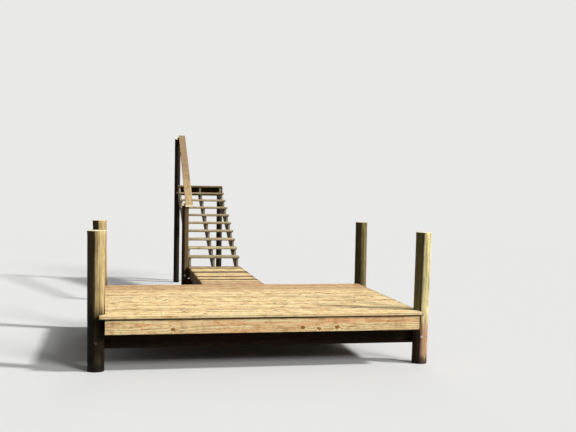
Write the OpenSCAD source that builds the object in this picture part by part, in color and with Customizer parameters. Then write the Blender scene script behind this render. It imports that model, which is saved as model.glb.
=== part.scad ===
// Wooden jetty: a low deck on four round piles, a gangway behind it and an open
// stair of ten treads that climbs from the gangway's end, with one plank handrail.
// X runs along the deck boards, Y from the open front edge to the stair's head,
// Z is up from the feet of the piles. The origin is below the middle of the whole.

/* [Lumber] */
// Thickness of every sawn board, joist, tread and stringer
plank_t = 38; // [32:1:45]
// Width of a deck board, a tread board and the handrail
board_w = 140; // [120:1:180]
// Gap between neighbouring deck boards
board_gap = 5; // [3:0.5:8]
// Height of joists, rim boards, girders and gangway beams
beam_h = 184; // [150:1:210]

/* [Deck] */
// Length of the deck boards, from side to side
deck_w = 4034; // [3400:1:4800]
// Number of deck boards from front to back
deck_n = 21; // [15:1:27]
// Height of the deck's top above the feet
deck_h = 696; // [600:1:900]
// Length of board that stands out past the left rim board
left_overhang = 66; // [40:1:90]
// Length of board that stands out past the right rim board
right_overhang = 51; // [40:1:90]
// Width of board that stands out past the front and back rim boards
edge_overhang = 14; // [5:1:30]
// Number of joists between the two side rim boards
joist_n = 5; // [3:1:7]

/* [Piles] */
// Diameter of the two left piles at their feet
pile_left_d = 208; // [190:1:240]
// Diameter of the front left pile at its top
front_left_top_d = 230; // [190:1:250]
// Diameter of the back left pile at its top
back_left_top_d = 211; // [190:1:250]
// Diameter of the two right piles at their feet
pile_right_d = 198; // [190:1:240]
// Diameter of the front right pile at its top
front_right_top_d = 203; // [180:1:250]
// Diameter of the back right pile at its top
back_right_top_d = 188; // [180:1:250]
// Height of the two front piles
pile_front_h = 1704; // [1200:1:2200]
// Height of the two back piles
pile_back_h = 1686; // [1200:1:2200]
// Lean of the front right pile to the right, in degrees
front_right_lean = 0.9; // [-2:0.1:2]
// Lean of the back left pile to the right, in degrees
back_left_lean = -1.3; // [-2:0.1:2]
// Distance from the deck's back edge to the middle of the back piles
pile_back_out = 50; // [30:1:80]
// Depth of the flat seat cut into a pile for its girder
pile_seat = 14; // [8:1:20]
// Bevel round the top of a pile or post
top_bevel = 6; // [2:1:10]
// Room round a pile where a deck board is cut out for it
cutout_room = 6; // [3:1:12]
// Length of girder past the middle of its pile
girder_end = 70; // [50:1:90]

/* [Gangway] */
// Distance from the deck's left end to the gangway
gang_in = 1523; // [900:1:2200]
// Width of the gangway and of the stair
gang_w = 970; // [860:1:1200]
// Number of gangway boards
gang_n = 19; // [14:1:24]
// Distance from a board's end to the outer beam or stringer under it
beam_inset = 20; // [10:1:30]

/* [Stair] */
// Number of treads
tread_n = 10; // [6:1:13]
// Height from the gangway's top to the first tread
first_rise = 186; // [160:1:200]
// Height from tread to tread
rise = 144; // [130:1:160]
// Distance from nosing to nosing
run = 322; // [305:1:340]
// Gap between the two boards of a tread
tread_gap = 8; // [4:1:12]
// Length of tread in front of the stringer's upright cut
nosing = 25; // [15:1:35]
// Width of the board that a stringer is cut from
stringer_h = 286; // [260:1:300]

/* [Posts and handrail] */
// Diameter of the round posts at the stair
post_d = 130; // [115:1:145]
// Depth of the flat seat cut into a post for its cross beam
post_seat = 10; // [6:1:15]
// Length of a cross beam past the middle of its post
cross_end = 52; // [40:1:60]
// Height of the handrail's underside above the gangway, at the foot post
rail_foot_h = 1154; // [950:1:1250]
// Height of the handrail's underside above the top tread, at the head post
rail_head_h = 1045; // [950:1:1250]
// Distance from the foot post's middle to the middle of the handrail
rail_foot_in = 66; // [50:1:100]
// Distance from the head post's middle to the middle of the handrail
rail_head_in = 93; // [50:1:100]
// Length of handrail in front of the foot post's middle
rail_foot_out = 100; // [75:1:150]
// Length of handrail behind the head post's middle
rail_head_out = 75; // [75:1:120]
// Distance from the treads' ends in to the middle of a head post
head_post_in = 8; // [0:1:20]

/* [Hidden] */
// Clearance at a round face that rests on a flat one
touch = 0.3;
// Length of log below its foot that the level foot cut takes off
foot_spare = 20;
$fn = 96;

function digits(n) = str(n < 10 ? "0" : "", n);
function tread_name(n) = str("tread_", digits(n + 1));

wood = "burlywood";
shaded_wood = "tan";
pile_wood = "darkkhaki";
old_wood = "rosybrown";

// Deck and gangway lengths, and the levels under their boards
board_step = board_w + board_gap;
deck_l = deck_n * board_step - board_gap;
gang_l = gang_n * board_step;
joist_top = deck_h - plank_t;
joist_z = joist_top - beam_h;
girder_z = joist_z - beam_h;

// Each pile by its diameter at the foot and at the top, its height and its lean to the right
front_left = [pile_left_d, front_left_top_d, pile_front_h, 0];
front_right = [pile_right_d, front_right_top_d, pile_front_h, front_right_lean];
back_left = [pile_left_d, back_left_top_d, pile_back_h, back_left_lean];
back_right = [pile_right_d, back_right_top_d, pile_back_h, 0];

// Radius of a log at a level
function log_r(log, z) = (log[0] + (log[1] - log[0]) * z / log[2]) / 2;

// Distance from a rim board out to the middle of a pile's foot, on the left (side -1) or right (side 1)
function pile_out(log, side) =
    touch + max([for (z = [joist_z, joist_top]) log_r(log, z) - side * z * tan(log[3])]);

// Distance from the middle of a pile's foot out to its outermost point
function pile_reach(log, side) =
    max(log_r(log, 0), log_r(log, log[2]) * cos(log[3]) + side * (log[2] - top_bevel) * sin(log[3]));

function side_out(logs, side) = max([for (log = logs) pile_out(log, side) + pile_reach(log, side)]);

// Overall width, from the outer sides of the piles
left_out = side_out([front_left, back_left], -1) - left_overhang;
right_out = side_out([front_right, back_right], 1) - right_overhang;
total_w = left_out + deck_w + right_out;
deck_x = left_out - total_w / 2;
frame_x = deck_x + left_overhang;
frame_w = deck_w - left_overhang - right_overhang;

function left_pile_x(log) = frame_x - pile_out(log, -1);
function right_pile_x(log) = frame_x + frame_w + pile_out(log, 1);

// Stair levels and steps, measured from the gangway's end
stair_pitch = atan2(rise, run);
tread_d = 2 * board_w + tread_gap;
foot_post_y0 = deck_l + gang_l;
riser_y0 = foot_post_y0 + post_d / 2;
head_y0 = riser_y0 - nosing + (tread_n - 1) * run + tread_d;
head_post_y0 = head_y0 + plank_t + post_d / 2 - post_seat;
first_seat_z = deck_h + first_rise - plank_t;
top_tread_z = first_seat_z + plank_t + (tread_n - 1) * rise;

// Handrail from post to post
stair_x = deck_x + gang_in;
foot_post_x = stair_x - post_d / 2 - touch;
head_post_x = stair_x + head_post_in;
rail_z = deck_h + rail_foot_h;
rail_dx = head_post_x + rail_head_in - foot_post_x - rail_foot_in;
rail_dy = head_post_y0 - foot_post_y0;
rail_dz = top_tread_z + rail_head_h - rail_z;
rail_level = norm([rail_dx, rail_dy]);
rail_turn = -atan2(rail_dx, rail_dy);
rail_pitch = atan2(rail_dz, rail_level);
rail_l = norm([rail_level, rail_dz]) + rail_foot_out + rail_head_out;
rail_tail = rail_head_out * cos(rail_pitch) * cos(rail_turn) + board_w / 2 * abs(sin(rail_turn));

// Overall length, with the front edge of the deck at its start
total_l = head_post_y0 + max(post_d / 2, rail_tail);
deck_y = -total_l / 2;
gang_y = deck_y + deck_l + board_gap;
foot_post_y = deck_y + foot_post_y0;
head_post_y = deck_y + head_post_y0;
head_y = deck_y + head_y0;
pile_front_y = deck_y + board_step + log_r(front_left, deck_h);
pile_back_y = deck_y + deck_l + pile_back_out;

function board_y(n) = deck_y + n * board_step;
function riser_y(n) = deck_y + riser_y0 + n * run;
function seat_z(n) = first_seat_z + n * rise;

// A sawn board with its low corner at a point
module plank(at, size) {
    translate(at)
        cube(size);
}

// A log with a bevelled top, leaning from its foot, which is sawn level
module leaning_log(log) {
    top_r = log_r(log, log[2]);
    difference() {
        rotate([0, log[3], 0])
            rotate_extrude()
                polygon([[0, -foot_spare], [log_r(log, -foot_spare), -foot_spare],
                    [top_r, log[2] - top_bevel], [top_r - top_bevel, log[2]], [0, log[2]]]);
        translate([-log[0], -log[0], -2 * foot_spare])
            cube([2 * log[0], 2 * log[0], 2 * foot_spare]);
    }
}

// A log at a place, with a flat seat in front (side -1) or behind (side 1), seat_off from its middle
module seated_log(x, y, log, side, seat_off, beam_z) {
    color(pile_wood)
        translate([x, y, 0])
            difference() {
                leaning_log(log);
                translate([-log[0], side > 0 ? seat_off : -seat_off - log[0], beam_z])
                    cube([2 * log[0], log[0], beam_h]);
            }
}

// Piles

pile_seat_off = pile_left_d / 2 - pile_seat;

module pile_front_left() {
    seated_log(left_pile_x(front_left), pile_front_y, front_left, 1, pile_seat_off, girder_z);
}

module pile_front_right() {
    seated_log(right_pile_x(front_right), pile_front_y, front_right, 1, pile_seat_off, girder_z);
}

module pile_back_left() {
    seated_log(left_pile_x(back_left), pile_back_y, back_left, -1, pile_seat_off, girder_z);
}

module pile_back_right() {
    seated_log(right_pile_x(back_right), pile_back_y, back_right, -1, pile_seat_off, girder_z);
}

// Girders, let into the seats of the piles and bolted there

girder_x = frame_x - pile_left_d / 2 - girder_end;
girder_l = frame_x + frame_w + pile_right_d / 2 + girder_end - girder_x;

module front_girder() {
    color(shaded_wood)
        plank([girder_x, pile_front_y + pile_seat_off, girder_z], [girder_l, plank_t, beam_h]);
}

module back_girder() {
    color(shaded_wood)
        plank([girder_x, pile_back_y - pile_seat_off - plank_t, girder_z], [girder_l, plank_t, beam_h]);
}

// Rim boards and joists of the deck

frame_y = deck_y + edge_overhang;
frame_l = deck_l - 2 * edge_overhang;
joist_l = frame_l - 2 * plank_t;
joist_step = (frame_w - plank_t) / (joist_n + 1);

module front_rim() {
    color(wood)
        plank([frame_x, frame_y, joist_z], [frame_w, plank_t, beam_h]);
}

module back_rim() {
    color(shaded_wood)
        plank([frame_x, frame_y + frame_l - plank_t, joist_z], [frame_w, plank_t, beam_h]);
}

module joist(n) {
    color(shaded_wood)
        plank([frame_x + n * joist_step, frame_y + plank_t, joist_z], [plank_t, joist_l, beam_h]);
}

module left_rim() {
    joist(0);
}

module right_rim() {
    joist(joist_n + 1);
}

module deck_joists() {
    for (n = [1 : joist_n])
        joist(n);
}

// Deck boards, cut out round the piles where they meet them

module pile_cutter(x, y, log) {
    translate([x, y, 0])
        leaning_log([log[0] + 2 * cutout_room, log[1] + 2 * cutout_room, log[2], log[3]]);
}

module deck_board(n) {
    color(wood)
        plank([deck_x, board_y(n), joist_top], [deck_w, board_w, plank_t]);
}

module deck_board_rows(first, last) {
    for (n = [first : last])
        deck_board(n);
}

module notched_deck_board(n) {
    difference() {
        deck_board(n);
        pile_cutter(left_pile_x(front_left), pile_front_y, front_left);
        pile_cutter(right_pile_x(front_right), pile_front_y, front_right);
        pile_cutter(left_pile_x(back_left), pile_back_y, back_left);
        pile_cutter(right_pile_x(back_right), pile_back_y, back_right);
    }
}

notched_last = floor((pile_front_y - deck_y + log_r(front_left, deck_h) + cutout_room) / board_step);
plain_n = deck_n - 2 - notched_last;
middle_first = notched_last + 1 + round(plain_n / 3);
back_first = notched_last + 1 + round(2 * plain_n / 3);

module deck_front_board() {
    deck_board(0);
}

module deck_notched_boards() {
    for (n = [1 : notched_last])
        notched_deck_board(n);
}

module deck_boards_front() {
    deck_board_rows(notched_last + 1, middle_first - 1);
}

module deck_boards_middle() {
    deck_board_rows(middle_first, back_first - 1);
}

module deck_boards_back() {
    deck_board_rows(back_first, deck_n - 2);
}

module deck_back_board() {
    notched_deck_board(deck_n - 1);
}

// Gangway: three beams from the deck's back rim to the cap on the foot posts

beam_y = frame_y + frame_l;
cap_y = foot_post_y - post_d / 2 + post_seat - plank_t;
beam_l = foot_post_y - edge_overhang - beam_y;
beam_x = [beam_inset, (gang_w - plank_t) / 2, gang_w - beam_inset - plank_t];

module gangway_beam(n) {
    color(shaded_wood)
        plank([stair_x + beam_x[n], beam_y, joist_z], [plank_t, beam_l, beam_h]);
}

module gangway_beam_left() {
    gangway_beam(0);
}

module gangway_beam_middle() {
    gangway_beam(1);
}

module gangway_beam_right() {
    gangway_beam(2);
}

module gangway_board_rows(first, last) {
    for (n = [first : last])
        color(wood)
            plank([stair_x, gang_y + n * board_step, joist_top], [gang_w, board_w, plank_t]);
}

near_last = floor((gang_n - 1) / 2);

module gangway_boards_near() {
    gangway_board_rows(0, near_last);
}

module gangway_boards_far() {
    gangway_board_rows(near_last + 1, gang_n - 1);
}

// Posts and cross beams at the foot of the stair

foot_right_x = stair_x + beam_x[2] - touch - post_d / 2;
cross_x = foot_post_x - cross_end;
cross_l = foot_right_x + cross_end - cross_x;

module gangway_cap() {
    color(shaded_wood)
        plank([cross_x, cap_y, girder_z], [cross_l, plank_t, beam_h]);
}

module foot_sill() {
    color(shaded_wood)
        plank([cross_x, foot_post_y + post_d / 2 - post_seat, joist_z], [cross_l, plank_t, beam_h]);
}

// Everything above the underside of the handrail, in the rail's own frame
module rail_frame() {
    translate([foot_post_x + rail_foot_in, foot_post_y, rail_z])
        rotate([rail_pitch, 0, rail_turn])
            children();
}

post_seat_off = post_d / 2 - post_seat;
function post_log(h) = [post_d, post_d, h, 0];

module rail_post(x, y, side, beam_z) {
    color(old_wood)
        difference() {
            seated_log(x, y, post_log(top_tread_z + 2 * rail_head_h), side, post_seat_off, beam_z);
            rail_frame()
                translate([-rail_level, -rail_level, 0])
                    cube([2 * rail_level, 3 * rail_level, rail_level]);
        }
}

module foot_post_left() {
    difference() {
        rail_post(foot_post_x, foot_post_y, 1, joist_z);
        plank([foot_post_x - post_d, cap_y, girder_z], [2 * post_d, plank_t, beam_h]);
    }
}

module foot_post_right() {
    difference() {
        seated_log(foot_right_x, foot_post_y, post_log(joist_top), 1, post_seat_off, joist_z);
        plank([foot_right_x - post_d, cap_y, girder_z], [2 * post_d, plank_t, beam_h]);
    }
}

// Posts and cross beam at the head of the stair

head_right_x = stair_x + gang_w - head_post_in;
head_beam_z = seat_z(tread_n - 1) - beam_h;

module head_post_left() {
    rail_post(head_post_x, head_post_y, -1, head_beam_z);
}

module head_post_right() {
    seated_log(head_right_x, head_post_y, post_log(head_beam_z + beam_h), -1, post_seat_off, head_beam_z);
}

module head_beam() {
    color(shaded_wood)
        plank([head_post_x - cross_end, head_y, head_beam_z],
            [head_right_x - head_post_x + 2 * cross_end, plank_t, beam_h]);
}

// Stringers: boards on edge, sawn to a level seat and an upright cut for each tread,
// with a level foot on the sill and an upright head against the head beam

notch_depth = run * sin(stair_pitch);
throat = (stringer_h - notch_depth) / cos(stair_pitch);
notch_y = riser_y(0) + run;
function under_z(y) = seat_z(0) - throat + (y - notch_y) * rise / run;
heel_y = notch_y + (joist_top - seat_z(0) + throat) * run / rise;

module stringer(n) {
    steps = [for (i = [0 : tread_n - 1]) each [
        [riser_y(i), seat_z(i)],
        [i == tread_n - 1 ? head_y : riser_y(i + 1), seat_z(i)]]];
    outline = concat([[riser_y(0), joist_top]], steps, [[head_y, under_z(head_y)], [heel_y, joist_top]]);
    color(shaded_wood)
        translate([stair_x + beam_x[n], 0, 0])
            rotate([90, 0, 90])
                linear_extrude(plank_t)
                    polygon(outline);
}

module stringer_left() {
    stringer(0);
}

module stringer_middle() {
    stringer(1);
}

module stringer_right() {
    stringer(2);
}

// Treads: two boards side by side on the stringers' seats
module tread(n) {
    color(wood)
        for (i = [0, 1])
            plank([stair_x, riser_y(n) - nosing + i * (board_w + tread_gap), seat_z(n)],
                [gang_w, board_w, plank_t]);
}

// Handrail: a plank laid flat on the sloping tops of the two left posts, its ends sawn upright
end_slant = plank_t * tan(rail_pitch);
rail_end = rail_l - rail_foot_out;

module handrail() {
    color(old_wood)
        rail_frame()
            translate([-board_w / 2, 0, 0])
                rotate([90, 0, 90])
                    linear_extrude(board_w)
                        polygon([[-rail_foot_out, 0], [rail_end, 0], [rail_end + end_slant, plank_t],
                            [end_slant - rail_foot_out, plank_t]]);
}

pile_front_left();
pile_front_right();
pile_back_left();
pile_back_right();
front_girder();
back_girder();
front_rim();
back_rim();
left_rim();
right_rim();
deck_joists();
deck_front_board();
deck_notched_boards();
deck_boards_front();
deck_boards_middle();
deck_boards_back();
deck_back_board();
gangway_beam_left();
gangway_beam_middle();
gangway_beam_right();
gangway_boards_near();
gangway_boards_far();
gangway_cap();
foot_post_left();
foot_post_right();
foot_sill();
head_post_left();
head_post_right();
head_beam();
stringer_left();
stringer_middle();
stringer_right();
for (n = [0 : tread_n - 1])
    tread(n);
handrail();
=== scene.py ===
# %% [markdown]
# # A wooden jetty
# The object is a low deck on four round piles, a gangway of cross boards and an open stair of ten
# treads with one plank handrail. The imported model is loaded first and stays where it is. Each board
# and log is then modelled over its own node, with eased edges, a little warp and a wood finish.

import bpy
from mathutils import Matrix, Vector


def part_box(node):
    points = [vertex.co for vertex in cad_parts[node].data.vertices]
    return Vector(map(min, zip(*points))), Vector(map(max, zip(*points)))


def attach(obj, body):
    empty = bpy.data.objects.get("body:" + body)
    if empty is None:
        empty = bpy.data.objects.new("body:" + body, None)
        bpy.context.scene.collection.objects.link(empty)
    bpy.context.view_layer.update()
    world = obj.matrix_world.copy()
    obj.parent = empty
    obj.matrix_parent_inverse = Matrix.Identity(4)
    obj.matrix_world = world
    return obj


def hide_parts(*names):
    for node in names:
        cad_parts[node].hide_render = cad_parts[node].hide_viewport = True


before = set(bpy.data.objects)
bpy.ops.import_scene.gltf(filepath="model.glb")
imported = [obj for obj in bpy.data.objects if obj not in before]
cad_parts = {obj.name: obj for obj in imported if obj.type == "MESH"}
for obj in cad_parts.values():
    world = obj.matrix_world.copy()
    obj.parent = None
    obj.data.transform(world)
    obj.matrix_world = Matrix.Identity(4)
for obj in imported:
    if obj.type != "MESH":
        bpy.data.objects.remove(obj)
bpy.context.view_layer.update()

# %% [markdown]
# The rest of the script needs a few modules: two of the renderer's own for meshes and for vectors,
# and a seeded generator for all that is uneven in the way boards lie.

# %% Modules
import math
import random

import bmesh
import bpy
from mathutils import Matrix, Vector

print("modelled with release", bpy.app.version_string)

# %% [markdown]
# ## Camera
# A photograph is matched by its camera first, because every later comparison depends on it. Place,
# direction and lens were fitted to the corners of the deck, the tops of the piles and the treads.
# The camera stands low in front, looks a little to the right, and is turned one degree.

# %% Camera
CAMERA_PLACE = Vector((-1.8437, -14.9882, 2.3618))
CAMERA_YAW = math.radians(11.30)
CAMERA_PITCH = math.radians(2.45)
CAMERA_ROLL = math.radians(1.0)
SENSOR_MM = 36.0
LENS_MM = 54.125

camera_data = bpy.data.cameras.new("camera")
camera_data.sensor_width = SENSOR_MM
camera_data.lens = LENS_MM
camera = bpy.data.objects.new("camera", camera_data)
bpy.context.scene.collection.objects.link(camera)
turn = Matrix.Rotation(-CAMERA_YAW, 4, "Z")
tilt = Matrix.Rotation(math.pi / 2 - CAMERA_PITCH, 4, "X")
roll = Matrix.Rotation(CAMERA_ROLL, 4, "Z")
camera.matrix_world = Matrix.Translation(CAMERA_PLACE) @ turn @ tilt @ roll
bpy.context.scene.camera = camera
bpy.context.scene.view_settings.view_transform = "Standard"
print("camera looks along", [round(v, 3) for v in -camera.matrix_world.col[2].xyz])

# %% [markdown]
# ## Colours and nodes
# Colours are written as the hex values that a screen shows. The renderer works with linear light, so
# one function turns a hex value into linear numbers. Another adds a shader node. Its inputs are given
# in the order in which the node shows them, or by name. A number is set, a hex colour is turned to
# linear and set, and what another node puts out is linked. A Mix node set to colours works as a painter's
# glaze: it shows its second input where its first, the mask, is 0, and its third where the mask is 1.

# %% Helpers for materials
SMOOTH = {"interpolation_type": "SMOOTHSTEP"}
COLOURS = {"data_type": "RGBA"}


def linear(hex_colour):
    """An sRGB hex colour as linear red, green, blue and alpha."""
    channels = [int(hex_colour[start:start + 2], 16) / 255 for start in (1, 3, 5)]
    straight = [c / 12.92 if c <= 0.04045 else ((c + 0.055) / 1.055) ** 2.4 for c in channels]
    return straight + [1.0]


def add(tree, kind, inputs=(), **settings):
    """Adds a shader node with its settings, and sets or links its inputs, by order or by name."""
    added = tree.nodes.new("ShaderNode" + kind)
    for key, value in settings.items():
        setattr(added, key, value)
    if isinstance(inputs, dict):
        pairs = [(added.inputs[name], value) for name, value in inputs.items()]
    else:
        pairs = zip([socket for socket in added.inputs if socket.enabled], inputs)
    for socket, value in pairs:
        if isinstance(value, bpy.types.Node):
            value = next(output for output in value.outputs if output.enabled)
        if isinstance(value, bpy.types.NodeSocket):
            tree.links.new(value, socket)
        else:
            socket.default_value = linear(value) if isinstance(value, str) else value
    return added


def new_material(name):
    """A material, and its node tree with nothing in it."""
    material = bpy.data.materials.new(name)
    material.use_nodes = True
    material.node_tree.nodes.clear()
    return material, material.node_tree


print("half grey is", round(linear("#808080")[0], 3), "in linear light")

# %% [markdown]
# ## Light and floor
# A studio lights such a thing with one large soft lamp and leaves the rest to the pale room. A sun lamp
# with a wide angle is such a softbox far away: it stands high on the right, so that the logs are lit on
# their right side and fall into shade on their left. A weaker one stands in front on the right and opens
# up the upright faces, and a faint one does the same for the back. The floor is pale for the camera and
# darker for the light that bounces off it, so that the underside of the deck stays dark.

# %% World
PALE = "#E9E9E8"
WORLD_LIGHT = 0.16


def seen_directly(tree):
    """One for rays from the camera, from a gloss or through glass, and zero for light that bounces."""
    path = add(tree, "LightPath").outputs
    gloss = add(tree, "Math", [path["Is Camera Ray"], path["Is Glossy Ray"]], operation="MAXIMUM")
    return add(tree, "Math", [gloss, path["Is Transmission Ray"]], operation="MAXIMUM")


world = bpy.data.worlds.new("studio")
world.use_nodes = True
bpy.context.scene.world = world
sky = world.node_tree
sky.nodes.clear()
room_light = add(sky, "Background", ["#FFFFFF", WORLD_LIGHT])
room_seen = add(sky, "Background", [PALE, 1.0])
room = add(sky, "MixShader", [seen_directly(sky), room_light, room_seen])
add(sky, "OutputWorld", {"Surface": room})
print("world", world.name, "light", WORLD_LIGHT)

# %% [markdown]
# The key lamp stands high on the right and has the smallest angle, so that its shadows have an edge. The
# front lamp is wider and softer, and the back lamp is only a breath of light.

# %% Lamps
def add_softbox(name, towards, strength, width_degrees):
    """A far softbox in a direction, as a white sun lamp with a wide angle."""
    lamp_data = bpy.data.lights.new(name, "SUN")
    lamp_data.energy = strength
    lamp_data.angle = math.radians(width_degrees)
    lamp = bpy.data.objects.new(name, lamp_data)
    lamp.rotation_euler = Vector(towards).to_track_quat("Z", "Y").to_euler()
    bpy.context.scene.collection.objects.link(lamp)


add_softbox("key_softbox", (0.73, -0.30, 0.61), 3.2, 6)
add_softbox("front_softbox", (0.55, -0.68, 0.48), 1.85, 20)
add_softbox("back_softbox", (0.30, 0.85, 0.43), 0.5, 30)

# %% [markdown]
# The floor is a large sheet of matt paint. A paper sweep would do the same in a studio, but its curve
# would have to stand somewhere. Here the paint fades into the room's own colour far away instead.

# %% Floor
FLOOR_SIZE = 160.0
FLOOR_NEAR = 12.0
FLOOR_FAR = 40.0
FLOOR_BOUNCE = "#5E5C58"
FLOOR_SEEN = "#DCDCDB"


def make_floor_paint(name):
    """Matt paint that fades into the room's own colour far away, so that no horizon shows."""
    material, tree = new_material(name)
    seen = seen_directly(tree)
    colour = add(tree, "Mix", [seen, FLOOR_BOUNCE, FLOOR_SEEN], **COLOURS)
    matt = add(tree, "BsdfDiffuse", [colour])
    place = add(tree, "TexCoord").outputs["Object"]
    distance = add(tree, "VectorMath", [place], operation="LENGTH")
    fade = add(tree, "MapRange", [distance, FLOOR_NEAR, FLOOR_FAR], **SMOOTH)
    fade_seen = add(tree, "Math", [fade, seen], operation="MULTIPLY")
    mixed = add(tree, "MixShader", [fade_seen, matt, add(tree, "Emission", [PALE, 1.0])])
    add(tree, "OutputMaterial", {"Surface": mixed})
    return material


bpy.ops.object.select_all(action="DESELECT")
bpy.ops.mesh.primitive_plane_add(size=FLOOR_SIZE)
floor = bpy.context.object
floor.name = "studio_floor"
floor.data.materials.append(make_floor_paint("studio_floor_paint"))
print("floor", FLOOR_SIZE, "metres wide")

# %% [markdown]
# ## Where a point lies in its board
# The same wood pattern has to run along boards that lie in any direction. Each mesh therefore stores
# for every point where it lies in its own board, in metres: along the fibres, across them and through
# the board. Each board also starts ten metres further along than the last, so no two look alike, and
# the material can tell the boards apart by that number. Half the board's size is stored as well: the
# material takes the place from it and so knows how far every point is from the board's own edges.

# %% Board coordinates
NEXT_BOARD_M = 10.0
board_count = 0


def mesh_box(piece):
    """Lowest and highest corner of a mesh."""
    corners = [vert.co for vert in piece.data.vertices]
    low = Vector([min(co[axis] for co in corners) for axis in range(3)])
    high = Vector([max(co[axis] for co in corners) for axis in range(3)])
    return low, high


def store_grain(piece, along, face, brown=0.0):
    """Stores each point's place in its board. The fibres run along, and face is the wide face's normal.

    Brown is how far the whole board is made darker, from 0 to 1.
    """
    global board_count
    board_count += 1
    along = Vector(along).normalized()
    across = Vector(face).cross(along).normalized()
    into_board = Matrix((along, across, along.cross(across)))
    middle = sum(mesh_box(piece), Vector()) / 2
    places = [into_board @ (vert.co - middle) for vert in piece.data.vertices]
    half = Vector([max(abs(place[axis]) for place in places) for axis in range(3)])
    start = Vector((board_count * NEXT_BOARD_M, 0, 0))
    for name, kind in (("grain", "FLOAT_VECTOR"), ("half_size", "FLOAT_VECTOR"), ("brown", "FLOAT")):
        piece.data.attributes.new(name, kind, "POINT")
    grain, half_size, browned = [piece.data.attributes[name] for name in ("grain", "half_size", "brown")]
    for number, place in enumerate(places):
        grain.data[number].vector = place + start
        half_size.data[number].vector = half
        browned.data[number].value = brown


print("boards start", NEXT_BOARD_M, "metres apart")

# %% [markdown]
# ## Bare wood
# Boards and poles share three things. Their patterns are noise that is stretched along the fibres: the
# stretch says how often it repeats in a metre, along, across and through the wood. Their growth rings
# go from pale early wood to dark late wood and start again. And their skin is weathered and never
# varnished, so it hardly shines, and what shows is its colour and a fine relief. Real rings are 3 to
# 6 mm wide. They are drawn two to four times as wide, because one pixel of the render covers about
# 12 mm, and wider still on the front rim and the handrail, which are cut along the rings.

# %% Steps of all bare wood
RING_M = 0.011
LATE_WOOD_FULL = 0.95
BARE_WOOD_GLOSS = 0.12


def stretched(tree, grain, stretch, detail, roughness=0.5):
    """A noise that repeats so often in a metre along, across and through the wood."""
    place = add(tree, "VectorMath", [grain, stretch], operation="MULTIPLY")
    return add(tree, "TexNoise", [place, 1.0, detail, roughness])


def late_wood_at(tree, radius, ring_m, start):
    """Share of late wood at a distance from the log's middle. It sets in at a share of each ring."""
    ring = add(tree, "Math", [radius, 1 / ring_m], operation="MULTIPLY")
    phase = add(tree, "Math", [ring], operation="FRACT")
    return add(tree, "MapRange", [phase, start, LATE_WOOD_FULL], **SMOOTH)


def put_skin(tree, colour, roughness, height, strength, distance):
    """A bare wood surface with a fine relief."""
    relief = add(tree, "Bump", {"Height": height, "Strength": strength, "Distance": distance})
    skin = add(tree, "BsdfPrincipled", {"Base Color": colour, "Roughness": roughness, "Normal": relief,
                                        "Specular IOR Level": BARE_WOOD_GLOSS})
    add(tree, "OutputMaterial", {"Surface": skin})


print("growth rings", round(RING_M * 1000), "mm wide")

# %% [markdown]
# ## Sawn pine
# Most of the jetty is southern yellow pine, sawn, pressure treated and left bare. The material first
# finds out which board a point is in, and how deep it lies below that board's ends, edges and faces.
# Each board also gets three random numbers of its own, which later set its tone and its rings.

# %% A point's place in its board
def board_places(tree, grain, half_size):
    """Three random numbers of a board, a point's place in it, and its depth below ends, edges and faces."""
    turns = add(tree, "Math", [add(tree, "SeparateXYZ", [grain]), 1 / NEXT_BOARD_M], operation="MULTIPLY")
    number = add(tree, "Math", [turns], operation="ROUND")
    dice = add(tree, "TexWhiteNoise", [number], noise_dimensions="1D").outputs["Color"]
    board_start = add(tree, "Math", [number, NEXT_BOARD_M], operation="MULTIPLY")
    start = add(tree, "CombineXYZ", [board_start])
    local = add(tree, "VectorMath", [grain, start], operation="SUBTRACT")
    from_centre = add(tree, "VectorMath", [local], operation="ABSOLUTE")
    inside = add(tree, "VectorMath", [half_size, from_centre], operation="SUBTRACT")
    return add(tree, "SeparateXYZ", [dice]).outputs, local, add(tree, "SeparateXYZ", [inside]).outputs


print("board numbers start at", board_count + 1)

# %% [markdown]
# Knots are branches that the saw cut through: dark ovals of 16 to 48 mm, round which the grain flows.
# A cell texture scatters points, one in each cell, and only some cells keep theirs. A noise of about
# 26 mm makes the ovals ragged. Painted spots would do as well, but they would have to be placed by hand.

# %% Knots
KNOT_CELL_M = 0.17
KNOT_CELL_SHARES = (0.75, 1, 1)
KNOT_HALO_M = 0.055
KNOT_RADII_M = (0.008, 0.024)
KNOT_RAGGED = 38.0
KNOT_RAGGED_BY = (0.2, 0.2, 0.2)
# Shares of a knot's radius between which its dark core ends
KNOT_CORE_ENDS = (0.75, 1.1)


def knots_in(tree, grain, knots, swirl):
    """A mask of the knots, which only some cells hold, and how far the grain swerves round them."""
    cells = add(tree, "VectorMath", [grain, [share / KNOT_CELL_M for share in KNOT_CELL_SHARES]],
                operation="MULTIPLY")
    wobble = add(tree, "TexNoise", [grain, KNOT_RAGGED, 2.0]).outputs["Color"]
    ragged = add(tree, "VectorMath", [wobble, KNOT_RAGGED_BY, cells], operation="MULTIPLY_ADD")
    branch = add(tree, "TexVoronoi", [ragged, 1.0], voronoi_dimensions="2D")
    lot = add(tree, "SeparateXYZ", [branch.outputs["Color"]]).outputs
    kept = add(tree, "Math", [lot[0], knots], operation="LESS_THAN")
    away = add(tree, "Math", [branch, KNOT_CELL_M], operation="MULTIPLY")
    radius = add(tree, "MapRange", [lot[1], 0, 1, *KNOT_RADII_M])
    share = add(tree, "Math", [away, radius], operation="DIVIDE")
    core = add(tree, "MapRange", [share, *KNOT_CORE_ENDS, 1, 0], **SMOOTH)
    halo = add(tree, "MapRange", [away, 0, KNOT_HALO_M, swirl, 0], **SMOOTH)
    return [add(tree, "Math", [part, kept], operation="MULTIPLY") for part in (core, halo)]


print("knots", [round(radius * 2000) for radius in KNOT_RADII_M], "mm wide")

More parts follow.
